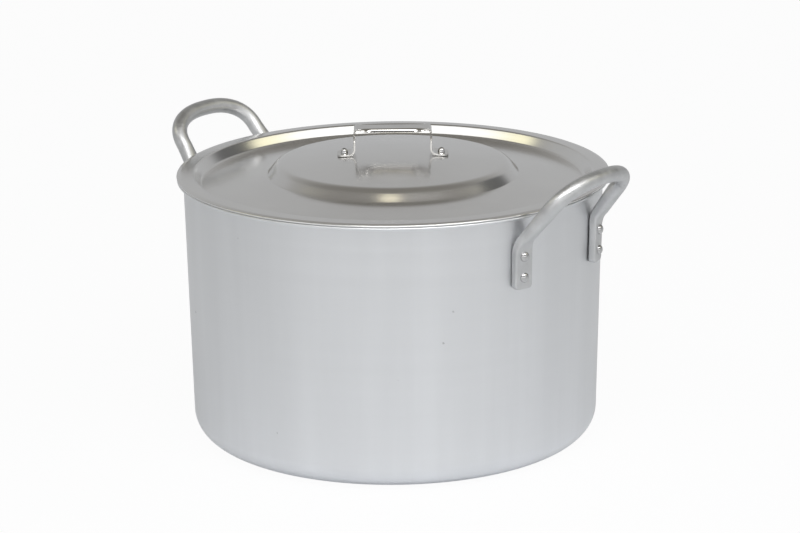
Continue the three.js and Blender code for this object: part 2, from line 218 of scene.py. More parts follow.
def new_group(
    name: str, kind: str, inputs: Sequence[tuple[str, str, object]], outputs: Sequence[tuple[str, str]]
) -> tuple[Tree, Node, Node]:
    """Starts a node group with named sockets.

    Args:
        name: The name of the group.
        kind: The kind of tree.
        inputs: The name, the socket type and the first value of each input.
        outputs: The name and the socket type of each output.

    Returns:
        The tree, its input node and its output node.
    """
    tree = bpy.data.node_groups.new(name, kind)
    for label, socket_type, value in inputs:
        socket = tree.interface.new_socket(label, in_out="INPUT", socket_type=socket_type)
        if value is not None:
            socket.default_value = value
    for label, socket_type in outputs:
        tree.interface.new_socket(label, in_out="OUTPUT", socket_type=socket_type)
    return tree, tree.nodes.new("NodeGroupInput"), tree.nodes.new("NodeGroupOutput")


# Geometry trees


GEOMETRY = "NodeSocketGeometry"
FLOAT = "NodeSocketFloat"
VECTOR = "NodeSocketVector"
WHOLE = "NodeSocketInt"
MATERIAL = "NodeSocketMaterial"
WELD = 1e-6
SHARP_ANGLE = math.radians(50)
DOME_SEGMENTS = 40
DOME_RINGS = 28
SHANK_SIDES = 24


def close_tree(tree: Tree, mesh: Socket, ends: tuple[Node, Node]) -> None:
    """Ends a geometry tree: smooth shading, real geometry and one finish.

    Args:
        tree: The geometry tree.
        mesh: The socket with the finished shape.
        ends: The tree's input node, which has the finish, and its output node.
    """
    smooth = add(tree, "GeometryNodeSetShadeSmooth", {"Geometry": mesh})
    real = add(tree, "GeometryNodeRealizeInstances", {"Geometry": smooth.outputs["Geometry"]})
    feeds = {"Geometry": real.outputs["Geometry"], "Material": ends[0].outputs["Finish"]}
    finish = add(tree, "GeometryNodeSetMaterial", feeds)
    link(tree, finish.outputs["Geometry"], ends[1].inputs["Geometry"])


def lattice(tree: Tree, geometry: Socket, around: Socket) -> tuple[Socket, Socket, Socket]:
    """Adds a grid with a row for each station of a line and a column for each step round it.

    Args:
        tree: The geometry tree.
        geometry: The socket with the stations, one vertex each.
        around: The socket with the number of steps round.

    Returns:
        The grid, the row number of each of its points and the angle of each point round the row.
    """
    count = add(tree, "GeometryNodeAttributeDomainSize", {"Geometry": geometry}).outputs["Point Count"]
    columns = math_node(tree, "ADD", around, 1.0)
    grid = add(tree, "GeometryNodeMeshGrid", {"Vertices X": count, "Vertices Y": columns})
    index = add(tree, "GeometryNodeInputIndex", {}).outputs["Index"]
    # Half a step more keeps the division clear of rounding.
    inside = math_node(tree, "ADD", index, 0.5)
    row = math_node(tree, "FLOOR", math_node(tree, "DIVIDE", inside, columns))
    column = math_node(tree, "SUBTRACT", index, math_node(tree, "MULTIPLY", row, columns))
    share = math_node(tree, "DIVIDE", column, around)
    return grid.outputs["Mesh"], row, math_node(tree, "MULTIPLY", share, 2 * math.pi)


def station_value(
    tree: Tree, geometry: Socket, row: Socket, name: str | None, kind: str = "FLOAT_VECTOR"
) -> Socket:
    """Adds nodes that read a value of the station that a point's row belongs to.

    Args:
        tree: The geometry tree.
        geometry: The socket with the stations.
        row: The socket with the row number.
        name: The name of the value, or None for the station's place.
        kind: The type of the value.

    Returns:
        The socket with the value.
    """
    if name is None:
        source = add(tree, "GeometryNodeInputPosition", {}).outputs["Position"]
    else:
        attribute = add(tree, "GeometryNodeInputNamedAttribute", {"Name": name}, data_type=kind)
        source = attribute.outputs["Attribute"]
    feeds = {"Geometry": geometry, "Index": row, "Value": source}
    return add(tree, "GeometryNodeSampleIndex", feeds, data_type=kind).outputs["Value"]


def placed(tree: Tree, mesh: Socket, position: Socket) -> Socket:
    """Adds nodes that move a mesh's points and weld its seam and poles.

    Args:
        tree: The geometry tree.
        mesh: The socket with the mesh.
        position: The socket with the new places.

    Returns:
        The socket with the closed mesh.
    """
    place = add(tree, "GeometryNodeSetPosition", {"Geometry": mesh, "Position": position})
    feeds = {"Geometry": place.outputs["Geometry"], "Distance": WELD}
    return add(tree, "GeometryNodeMergeByDistance", feeds).outputs["Geometry"]


def spun_sheet_tree() -> Tree:
    """Builds the tree that spins a section, drawn in X and Z, about the upright axis.

    Returns:
        The geometry tree.
    """
    inputs = [
        ("Geometry", GEOMETRY, None), ("Around", WHOLE, 64), ("Turn", FLOAT, 0.0), ("Finish", MATERIAL, None)
    ]
    tree, start, end = new_group("spun_sheet", "GeometryNodeTree", inputs, [("Geometry", GEOMETRY)])
    stations = start.outputs["Geometry"]
    grid, row, angle = lattice(tree, stations, start.outputs["Around"])
    section = add(tree, "ShaderNodeSeparateXYZ", {0: station_value(tree, stations, row, None)}).outputs
    turned = math_node(tree, "ADD", angle, start.outputs["Turn"])
    level = {
        axis: math_node(tree, "MULTIPLY", section["X"], math_node(tree, wave, turned))
        for axis, wave in (("X", "COSINE"), ("Y", "SINE"))
    }
    point = add(tree, "ShaderNodeCombineXYZ", {**level, "Z": section["Z"]})
    close_tree(tree, placed(tree, grid, point.outputs[0]), (start, end))
    return tree


def forged_bar_tree() -> Tree:
    """Builds the tree that leads a section along stations, from a squarish flat to a round bar.

    Returns:
        The geometry tree.
    """
    inputs = [("Geometry", GEOMETRY, None), ("Around", WHOLE, 32), ("Finish", MATERIAL, None)]
    tree, start, end = new_group("forged_bar", "GeometryNodeTree", inputs, [("Geometry", GEOMETRY)])
    stations = start.outputs["Geometry"]
    grid, row, angle = lattice(tree, stations, start.outputs["Around"])
    power = station_value(tree, stations, row, "power", "FLOAT")

    def swing(wave: str, axis: str, half: str) -> Socket:
        """Adds the reach of the section along one of its axes.

        Args:
            wave: SINE or COSINE of the angle round the section.
            axis: The station's axis.
            half: The station's half size along it.

        Returns:
            The socket with the reach as a vector.
        """
        turn = math_node(tree, wave, angle)
        bent = math_node(tree, "POWER", math_node(tree, "ABSOLUTE", turn), power)
        reach = math_node(tree, "MULTIPLY", bent, math_node(tree, "SIGN", turn))
        size = math_node(tree, "MULTIPLY", reach, station_value(tree, stations, row, half, "FLOAT"))
        return scaled(tree, station_value(tree, stations, row, axis), size)

    centre = station_value(tree, stations, row, None)
    wide = vector_node(tree, "ADD", centre, swing("COSINE", "across", "half_width"))
    point = vector_node(tree, "ADD", wide, swing("SINE", "through", "half_depth"))
    close_tree(tree, placed(tree, grid, point), (start, end))
    return tree


def rivet_row_tree() -> Tree:
    """Builds the tree that sets a domed rivet at each place, along the place's own axis.

    Returns:
        The geometry tree.
    """
    sizes = [
        "Head Radius", "Head Height", "Shank Radius", "Stack", "Tail Radius", "Tail Height", "Unevenness"
    ]
    inputs = [("Geometry", GEOMETRY, None), *((size, FLOAT, 1 * MM) for size in sizes), ("Seed", WHOLE, 3)]
    inputs.append(("Finish", MATERIAL, None))
    tree, start, end = new_group("rivet_row", "GeometryNodeTree", inputs, [("Geometry", GEOMETRY)])
    size = start.outputs

    def dome(radius: str, height: str, limit: str, seat: object) -> Socket:
        """Adds a half ball with a flat side, for the head or the tail.

        Args:
            radius: The input with its radius.
            height: The input with its height.
            limit: MAXIMUM for a dome that points up and MINIMUM for one that points down.
            seat: The height of its flat side.

        Returns:
            The socket with the mesh.
        """
        rounds = {"Segments": DOME_SEGMENTS, "Rings": DOME_RINGS, "Radius": 1.0}
        ball = add(tree, "GeometryNodeMeshUVSphere", rounds)
        place = add(tree, "GeometryNodeInputPosition", {}).outputs["Position"]
        parts = add(tree, "ShaderNodeSeparateXYZ", {0: place}).outputs
        level = {axis: math_node(tree, "MULTIPLY", parts[axis], size[radius]) for axis in "XY"}
        rise = math_node(tree, "MULTIPLY", math_node(tree, limit, parts["Z"], 0.0), size[height])
        point = add(tree, "ShaderNodeCombineXYZ", {**level, "Z": math_node(tree, "ADD", rise, seat)})
        feeds = {"Geometry": ball.outputs["Mesh"], "Position": point.outputs[0]}
        return add(tree, "GeometryNodeSetPosition", feeds).outputs["Geometry"]

    under = math_node(tree, "MULTIPLY", size["Stack"], -1.0)
    depth = math_node(tree, "ADD", size["Stack"], size["Tail Height"])
    feeds = {"Vertices": SHANK_SIDES, "Radius": size["Shank Radius"], "Depth": depth}
    shank = add(tree, "GeometryNodeMeshCylinder", feeds)
    middle = add(tree, "ShaderNodeCombineXYZ", {"Z": math_node(tree, "MULTIPLY", under, 0.5)})
    feeds = {"Geometry": shank.outputs["Mesh"], "Translation": middle.outputs[0]}
    lowered = add(tree, "GeometryNodeTransform", feeds).outputs["Geometry"]
    head = dome("Head Radius", "Head Height", "MAXIMUM", 0.0)
    tail = dome("Tail Radius", "Tail Height", "MINIMUM", under)
    rivet = add(tree, "GeometryNodeMeshBoolean", {}, operation="UNION")
    for solid in (head, lowered, tail):
        link(tree, solid, rivet.inputs["Mesh 2"])
    axis = add(tree, "GeometryNodeInputNamedAttribute", {"Name": "axis"}, data_type="FLOAT_VECTOR")
    aim = add(tree, "FunctionNodeAlignRotationToVector", {"Vector": axis.outputs["Attribute"]}, axis="Z")
    chance = add(tree, "FunctionNodeRandomValue", {"Seed": size["Seed"]}, data_type="FLOAT")
    amounts = [socket for socket in chance.inputs if socket.type == "VALUE"]
    link(tree, math_node(tree, "SUBTRACT", 1.0, size["Unevenness"]), amounts[0])
    amounts[1].default_value = 1.0
    points = add(tree, "GeometryNodeMeshToPoints", {"Mesh": size["Geometry"]})
    feeds = {
        "Points": points.outputs["Points"],
        "Instance": rivet.outputs["Mesh"],
        "Rotation": aim.outputs["Rotation"],
        "Scale": next(socket for socket in chance.outputs if socket.type == "VALUE"),
    }
    row = add(tree, "GeometryNodeInstanceOnPoints", feeds)
    close_tree(tree, row.outputs["Instances"], (start, end))
    return tree


def grown(name: str, seed_mesh: Mesh, tree: Tree, values: dict[str, object]) -> Piece:
    """Runs a geometry tree on a mesh and keeps the result as a plain mesh.

    Args:
        name: The name of the piece.
        seed_mesh: The mesh that the tree starts from.
        tree: The geometry tree.
        values: The values of the tree's inputs by name.

    Returns:
        The piece.
    """
    carrier = bpy.data.objects.new(name + "_carrier", seed_mesh)
    bpy.context.scene.collection.objects.link(carrier)
    modifier = carrier.modifiers.new("shape", "NODES")
    modifier.node_group = tree
    for item in tree.interface.items_tree:
        if item.in_out == "INPUT" and item.name in values:
            modifier[item.identifier] = values[item.name]
    graph = bpy.context.evaluated_depsgraph_get()
    mesh = bpy.data.meshes.new_from_object(carrier.evaluated_get(graph), depsgraph=graph)
    carrier.modifiers.remove(modifier)
    bpy.data.objects.remove(carrier)
    return kept(name, mesh)


def kept(name: str, mesh: Mesh) -> Piece:
    """Links a closed mesh to the scene, with its faces outward and its hard edges sharp.

    Args:
        name: The name of the piece.
        mesh: The mesh.

    Returns:
        The piece.
    """
    work = bmesh.new()
    work.from_mesh(mesh)
    bmesh.ops.dissolve_degenerate(work, dist=WELD, edges=work.edges)
    bmesh.ops.recalc_face_normals(work, faces=work.faces)
    for face in work.faces:
        face.smooth = True
    work.to_mesh(mesh)
    work.free()
    mesh.set_sharp_from_angle(angle=SHARP_ANGLE)
    mesh.name = name
    piece = bpy.data.objects.new(name, mesh)
    bpy.context.scene.collection.objects.link(piece)
    return piece


# Sections


@dataclass(frozen=True)
class Corner:
    """A corner of a section, with the radius of its fillet."""

    across: float
    height: float
    fillet: float = 0.0

    @property
    def at(self) -> Vector:
        """The corner as a flat vector."""
        return Vector((self.across, self.height))


def filleted(
    corners: Sequence[Corner], turn_step: float = math.radians(5), run_step: float = 9 * MM
) -> list[Vector]:
    """Follows corners, rounds each one and splits the long straight runs.

    Args:
        corners: The corners in order.
        turn_step: The largest turn between two points of a fillet.
        run_step: The longest straight run between two points.

    Returns:
        The points of the rounded line.
    """
    line: list[Vector] = []
    for i, corner in enumerate(corners):
        if corner.fillet == 0:
            line.append(corner.at)
            continue
        back = (corners[i - 1].at - corner.at).normalized()
        ahead = (corners[i + 1].at - corner.at).normalized()
        half = math.acos(max(-1.0, min(1.0, back.dot(ahead)))) / 2
        turn = math.copysign(math.pi - 2 * half, ahead.x * back.y - ahead.y * back.x)
        centre = corner.at + (back + ahead).normalized() * (corner.fillet / math.sin(half))
        spoke = corner.at + back * (corner.fillet / math.tan(half)) - centre
        steps = max(2, math.ceil(abs(turn) / turn_step))
        line += [centre + Matrix.Rotation(turn * k / steps, 2) @ spoke for k in range(steps + 1)]
    split = [line[0]]
    for before, after in zip(line, line[1:]):
        parts = max(1, math.ceil((after - before).length / run_step))
        split += [before.lerp(after, (k + 1) / parts) for k in range(parts)]
    return split


def ways(line: Sequence[Vector]) -> list[Vector]:
    """Finds the way that a line runs at each of its points.

    Args:
        line: The points of the line.

    Returns:
        A unit vector for each point.
    """
    last = len(line) - 1
    return [(line[min(i + 1, last)] - line[max(i - 1, 0)]).normalized() for i in range(len(line))]


def beside(line: Sequence[Vector], distance: float) -> list[Vector]:
    """Moves a line to the right of the way it runs, as the other face of a sheet.

    Args:
        line: The points of the line.
        distance: How far it moves.

    Returns:
        The points of the moved line.
    """
    moved = []
    for point, along in zip(line, ways(line)):
        shifted = Vector((point.x + along.y * distance, point.y - along.x * distance))
        moved.append(Vector((0.0, point.y - distance)) if point.x == 0 else shifted)
    return moved


def edge_round(radius: float, height: float, thickness: float, steps: int = 10) -> list[Vector]:
    """Follows the rounded edge of a sheet from its upper face to its lower one.

    Args:
        radius: The radius at which the round begins.
        height: The height of the upper face.
        thickness: The thickness of the sheet.
        steps: The number of steps.

    Returns:
        The points between the two faces.
    """
    half = thickness / 2
    angles = [math.pi / 2 - math.pi * k / steps for k in range(1, steps)]
    return [Vector((radius + half * math.cos(a), height - half + half * math.sin(a))) for a in angles]


def round_cut(radius: float, distance: float) -> float:
    """How deep a corner's round still cuts in at a distance from the end."""
    left = max(0.0, radius - distance)
    return radius - math.sqrt(radius**2 - left**2)


def section_mesh(name: str, line: Sequence[Vector]) -> Mesh:
    """Makes a mesh of loose points from a section of radius and height.

    Args:
        name: The name of the mesh.
        line: The points of the section.

    Returns:
        The mesh.
    """
    mesh = bpy.data.meshes.new(name)
    mesh.from_pydata([(point.x, 0.0, point.y) for point in line], [], [])
    return mesh


def station_mesh(name: str, places: Sequence[Vector], values: dict[str, Sequence[object]]) -> Mesh:
    """Makes a mesh of loose points that carry named values.

    Args:
        name: The name of the mesh.
        places: The place of each point.
        values: For each name, a number or a vector for each point.

    Returns:
        The mesh.
    """
    mesh = bpy.data.meshes.new(name)
    mesh.from_pydata([tuple(place) for place in places], [], [])
    for label, row in values.items():
        if isinstance(row[0], Vector):
            attribute = mesh.attributes.new(label, "FLOAT_VECTOR", "POINT")
            attribute.data.foreach_set("vector", [number for vector in row for number in vector])
        else:
            attribute = mesh.attributes.new(label, "FLOAT", "POINT")
            attribute.data.foreach_set("value", list(row))
    return mesh


def smooth_share(value: float) -> float:
    """A share from 0 to 1 that starts and ends gently."""
    share = max(0.0, min(1.0, value))
    return share * share * (3 - 2 * share)


def mix(a: float, b: float, share: float) -> float:
    """The value between two values at a share."""
    return a + (b - a) * share


# Finishes


LINE_DETAIL = 3.0
BAND_SHARE = 0.06
WAVER_SCALE = 9.0
MOTTLE_DETAIL = 4.0
MOTTLE_ROUGHNESS = 0.55
MOTTLE_SPAN: Span = (0.3, 0.7)
WARP_SCALE = 300.0
WARP_REACH = 2 * MM
NICK_EDGE: Span = (0.0, 0.03)
EVEN: Triple = (1.0, 1.0, 1.0)
DRAWN_STRETCH: Triple = (0.04, 1.0, 0.04)


def turned_lines_group() -> Tree:
    """Builds the lines that a lathe and a polishing belt leave round the upright axis.

    Returns:
        The shader group.
    """
    inputs = [("Vector", VECTOR, None), ("Density", FLOAT, 900.0), ("Waver", FLOAT, 0.4 * MM)]
    outputs = [("Lines", FLOAT), ("Bands", FLOAT)]
    tree, start, end = new_group("turned_lines", "ShaderNodeTree", inputs, outputs)
    place = start.outputs["Vector"]
    parts = add(tree, "ShaderNodeSeparateXYZ", {0: place}).outputs
    squares = [math_node(tree, "MULTIPLY", parts[axis], parts[axis]) for axis in "XY"]
    radius = math_node(tree, "SQRT", math_node(tree, "ADD", *squares))
    waver = add(tree, "ShaderNodeTexNoise", {"Vector": place, "Scale": WAVER_SCALE})
    drift = math_node(tree, "MULTIPLY", waver.outputs[0], start.outputs["Waver"])
    run = math_node(tree, "ADD", math_node(tree, "ADD", radius, parts["Z"]), drift)
    for label, share in (("Lines", 1.0), ("Bands", BAND_SHARE)):
        steps = math_node(tree, "MULTIPLY", run, start.outputs["Density"])
        feeds = {"W": steps, "Scale": share, "Detail": LINE_DETAIL}
        noise = add(tree, "ShaderNodeTexNoise", feeds, noise_dimensions="1D")
        link(tree, noise.outputs[0], end.inputs[label])
    return tree


def mottle_group() -> Tree:
    """Builds the soft unevenness of worked metal, with a stretch for streaks.

    Returns:
        The shader group.
    """
    inputs = [("Vector", VECTOR, None), ("Scale", FLOAT, 60.0), ("Stretch", VECTOR, EVEN)]
    tree, start, end = new_group("mottle", "ShaderNodeTree", inputs, [("Patches", FLOAT)])
    feeds = {
        "Vector": vector_node(tree, "MULTIPLY", start.outputs["Vector"], start.outputs["Stretch"]),
        "Scale": start.outputs["Scale"],
        "Detail": MOTTLE_DETAIL,
        "Roughness": MOTTLE_ROUGHNESS,
    }
    noise = add(tree, "ShaderNodeTexNoise", feeds)
    link(tree, span_node(tree, noise.outputs[0], MOTTLE_SPAN, RISING), end.inputs["Patches"])
    return tree


def nicks_group() -> Tree:
    """Builds the scattered small knocks of a used kitchen pot.

    Returns:
        The shader group.
    """
    sizes = [("Scale", FLOAT, 40.0), ("Share", FLOAT, 0.1), ("Width", FLOAT, 0.08)]
    inputs = [("Vector", VECTOR, None), *sizes]
    tree, start, end = new_group("nicks", "ShaderNodeTree", inputs, [("Nicks", FLOAT)])
    place = start.outputs["Vector"]
    warp = add(tree, "ShaderNodeTexNoise", {"Vector": place, "Scale": WARP_SCALE})
    moved = vector_node(tree, "ADD", place, scaled(tree, warp.outputs["Color"], WARP_REACH))
    cells = add(tree, "ShaderNodeTexVoronoi", {"Vector": moved, "Scale": start.outputs["Scale"]})
    chance = add(tree, "ShaderNodeSeparateColor", {0: cells.outputs["Color"]})
    chosen = math_node(tree, "LESS_THAN", chance.outputs[0], start.outputs["Share"])
    near = math_node(tree, "SUBTRACT", start.outputs["Width"], cells.outputs["Distance"])
    spot = span_node(tree, near, NICK_EDGE, RISING)
    link(tree, math_node(tree, "MULTIPLY", spot, chosen), end.inputs["Nicks"])
    return tree


@dataclass(frozen=True)
class MetalFinish:
    """A finish of bare aluminium, with the marks of its making and its use."""

    name: str
    grain: Grain
    colour: Colour
    roughness: float
    tone_swing: float
    gloss_swing: float
    line_density: float
    line_depth: float
    patch_scale: float
    patch_depth: float
    nick_scale: float
    nick_share: float
    nick_width: float = 0.06
    nick_tone: float = 0.62
    nick_depth: float = 0.5
    stretch: Triple = EVEN
    streak_share: float = 0.6
    fine_share: float = 0.5
    dull_span: Span = (0.2, 0.8)
    bump: float = 0.3
    bump_height: float = 0.4 * MM

    def toned(self, factor: float) -> tuple[float, ...]:
        """The finish's colour, darker or lighter by a factor."""
        return opaque(min(1.0, part * factor) for part in self.colour)

    def made(self, groups: dict[str, Tree]) -> bpy.types.Material:
        """Makes the material.

        Args:
            groups: The shared shader groups by name.

        Returns:
            The material.
        """
        material = bpy.data.materials.new(self.name)
        material.use_nodes = True
        tree = material.node_tree
        shader = tree.nodes["Principled BSDF"]
        place = add(tree, "ShaderNodeTexCoord", {}).outputs["Object"]

        def group(label: str, values: dict[str, object]) -> Node:
            """Places a shared group.

            Args:
                label: The name of the group.
                values: The values of its inputs by name.

            Returns:
                The node.
            """
            return add(tree, "ShaderNodeGroup", {"Vector": place, **values}, node_tree=groups[label])

        streaks = group("mottle", {"Scale": self.patch_scale, "Stretch": self.stretch}).outputs["Patches"]
        knocks = {"Scale": self.nick_scale, "Share": self.nick_share, "Width": self.nick_width}
        nicks = group("nicks", knocks).outputs["Nicks"]
        if self.grain is Grain.TURNED:
            rings = group("turned_lines", {"Density": self.line_density})
            fine, broad = rings.outputs["Lines"], rings.outputs["Bands"]
        else:
            stretch = DRAWN_STRETCH if self.grain is Grain.DRAWN else EVEN
            fine = group("mottle", {"Scale": self.line_density, "Stretch": stretch}).outputs["Patches"]
            broad = streaks
        shares = ((streaks, self.streak_share), (broad, 1 - self.streak_share))
        tone = math_node(tree, "ADD", *(math_node(tree, "MULTIPLY", *pair) for pair in shares))
        metal = mixed(tree, tone, self.toned(1 - self.tone_swing), self.toned(1 + self.tone_swing))
        marked = mixed(tree, nicks, metal, self.toned(self.nick_tone))
        link(tree, marked, shader.inputs["Base Color"])
        dull = math_node(tree, "MULTIPLY", broad, 1 - self.fine_share)
        dull = math_node(tree, "MULTIPLY_ADD", fine, self.fine_share, dull)
        gloss = (self.roughness - self.gloss_swing, self.roughness + self.gloss_swing)
        link(tree, span_node(tree, dull, self.dull_span, gloss), shader.inputs["Roughness"])
        relief = math_node(tree, "MULTIPLY", fine, self.line_depth)
        relief = math_node(tree, "MULTIPLY_ADD", streaks, self.patch_depth, relief)
        relief = math_node(tree, "MULTIPLY_ADD", nicks, -self.nick_depth, relief)
        feeds = {"Strength": self.bump, "Distance": self.bump_height, "Height": relief}
        bump = add(tree, "ShaderNodeBump", feeds)
        link(tree, bump.outputs["Normal"], shader.inputs["Normal"])
        shader.inputs["Metallic"].default_value = 1.0
        return material


POT_SATIN = MetalFinish(
    "pot_satin", Grain.TURNED, (0.77, 0.78, 0.795), 0.42, tone_swing=0.035, gloss_swing=0.05,
    line_density=1400.0, line_depth=0.01, patch_scale=26.0, patch_depth=0.03, stretch=(1.0, 1.0, 0.06),
    nick_scale=26.0, nick_share=0.6, nick_width=0.045,
)
LID_POLISHED = MetalFinish(
    "lid_polished", Grain.TURNED, (0.80, 0.795, 0.785), 0.18, tone_swing=0.03, gloss_swing=0.03,
    line_density=1800.0, line_depth=0.006, patch_scale=14.0, patch_depth=0.015,
    nick_scale=30.0, nick_share=0.05, nick_width=0.04,
)
STRAP_BRIGHT = MetalFinish(
    "strap_bright", Grain.DRAWN, (0.68, 0.67, 0.65), 0.09, tone_swing=0.05, gloss_swing=0.03,
    line_density=900.0, line_depth=0.03, patch_scale=60.0, patch_depth=0.03,
    nick_scale=90.0, nick_share=0.08,
)
BAR_FORGED = MetalFinish(
    "bar_forged", Grain.FORGED, (0.62, 0.625, 0.63), 0.44, tone_swing=0.06, gloss_swing=0.06,
    line_density=420.0, line_depth=0.012, patch_scale=75.0, patch_depth=0.05,
    nick_scale=70.0, nick_share=0.1,
)
RIVET_BRIGHT = MetalFinish(
    "rivet_bright", Grain.FORGED, (0.55, 0.55, 0.55), 0.12, tone_swing=0.06, gloss_swing=0.03,
    line_density=800.0, line_depth=0.01, patch_scale=260.0, patch_depth=0.04,
    nick_scale=200.0, nick_share=0.12,
)


@dataclass
class Workshop:
    """The geometry trees and materials that the pieces share."""

    trees: dict[str, Tree] = field(default_factory=dict)
    finishes: dict[str, bpy.types.Material] = field(default_factory=dict)

    def equip(self) -> None:
        """Builds every tree, group and material once."""
        for make in (spun_sheet_tree, forged_bar_tree, rivet_row_tree):
            tree = make()
            self.trees[tree.name] = tree
        groups = {tree.name: tree for tree in (turned_lines_group(), mottle_group(), nicks_group())}
        for finish in (POT_SATIN, LID_POLISHED, STRAP_BRIGHT, BAR_FORGED, RIVET_BRIGHT):
            self.finishes[finish.name] = finish.made(groups)

    def dress(self, piece: Piece, slot: str, body: str, nodes: Sequence[str]) -> None:
        """Gives a piece its finish and its body, and hides the nodes that it stands for.

        Args:
            piece: The piece.
            slot: The name of its finish, which is the record's slot too.
            body: The body that it moves with.
            nodes: The nodes that it replaces.
        """
        piece.data.materials.clear()
        piece.data.materials.append(self.finishes[slot])
        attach(piece, body)
        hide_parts(*nodes)
        count = len(piece.data.polygons)
        LOG.info("%s: %d faces, on %s, stands for %d", piece.name, count, body, len(nodes))


# The pot


@dataclass
class PotBody:
    """The spun pot: a tapered wall, a broad base corner and a turned-out rim."""

    radius: float = 200 * MM
    height: float = 253.2 * MM
    taper: float = 5.4 * MM
    wall: float = 3 * MM
    base: float = 4 * MM
    base_corner: float = 24.5 * MM
    flange_width: float = 6 * MM
    flange_thickness: float = 2.6 * MM
    rim_fillet: float = 2.5 * MM
    around: int = 256

    def wall_radius(self, height: float) -> float:
        """The outer radius of the tapered wall at a height."""
        return self.radius - self.taper * (1 - height / self.height)

    def section(self) -> list[Vector]:
        """Draws the section: out along the base, up the wall, round the rim and back inside.

        Returns:
            The points of radius and height.
        """
        edge = self.radius + self.flange_width - self.flange_thickness / 2
        under = self.height - self.flange_thickness
        inner = self.wall_radius(self.base) - self.wall
        outside = filleted([
            Corner(0, 0),
            Corner(self.wall_radius(0), 0, self.base_corner),
            Corner(self.wall_radius(under), under, self.rim_fillet),
            Corner(edge, under),
        ])
        inside = filleted([
            Corner(edge, self.height),
            Corner(self.radius - self.wall, self.height, self.rim_fillet + self.wall),
            Corner(inner, self.base, self.base_corner - self.wall),
            Corner(0, self.base),
        ])
        return [*outside, *reversed(edge_round(edge, self.height, self.flange_thickness)), *inside]

    def build(self, shop: Workshop) -> None:
        """Builds and dresses the pot.

        Args:
            shop: The shared trees and finishes.
        """
        mesh = section_mesh("pot_section", self.section())
        values = {"Around": self.around, "Finish": shop.finishes["pot_satin"]}
        piece = grown("pot_body_spun", mesh, shop.trees["spun_sheet"], values)
        shop.dress(piece, "pot_satin", "pot", ["pot_body"])

    def wall_frame(self, angle: float) -> tuple[Vector, Vector, Vector]:
        """Finds the directions of the wall at an angle round the pot.

        Args:
            angle: The angle about the upright axis.

        Returns:
            The level direction outward, the direction up the wall and the one square out of it.
        """
        slope = self.taper / self.height
        radial = Vector((math.cos(angle), math.sin(angle), 0.0))
        return radial, (radial * slope + UP).normalized(), (radial - UP * slope).normalized()


@dataclass
class RivetSizes:
    """The sizes of one kind of rivet."""

    head_radius: float
    head_height: float
    shank_radius: float
    stack: float
    tail_radius: float
    tail_height: float
    unevenness: float = 0.04
    seed: int = 5

    def row(self, shop: Workshop, name: str, seats: Sequence[Seat], body: str, nodes: Sequence[str]) -> None:
        """Sets rivets at their seats and dresses them as one piece.

        Args:
            shop: The shared trees and finishes.
            name: The name of the piece.
            seats: For each rivet, a point under its head and its axis outward.
            body: The body that the rivets move with.
            nodes: The nodes that they replace.
        """
        places, axes = zip(*seats)
        points = station_mesh(name + "_places", places, {"axis": axes})
        values = {
            "Head Radius": self.head_radius,
            "Head Height": self.head_height,
            "Shank Radius": self.shank_radius,
            "Stack": self.stack,
            "Tail Radius": self.tail_radius,
            "Tail Height": self.tail_height,
            "Unevenness": self.unevenness,
            "Seed": self.seed,
            "Finish": shop.finishes["rivet_bright"],
        }
        piece = grown(name, points, shop.trees["rivet_row"], values)
        shop.dress(piece, "rivet_bright", body, nodes)


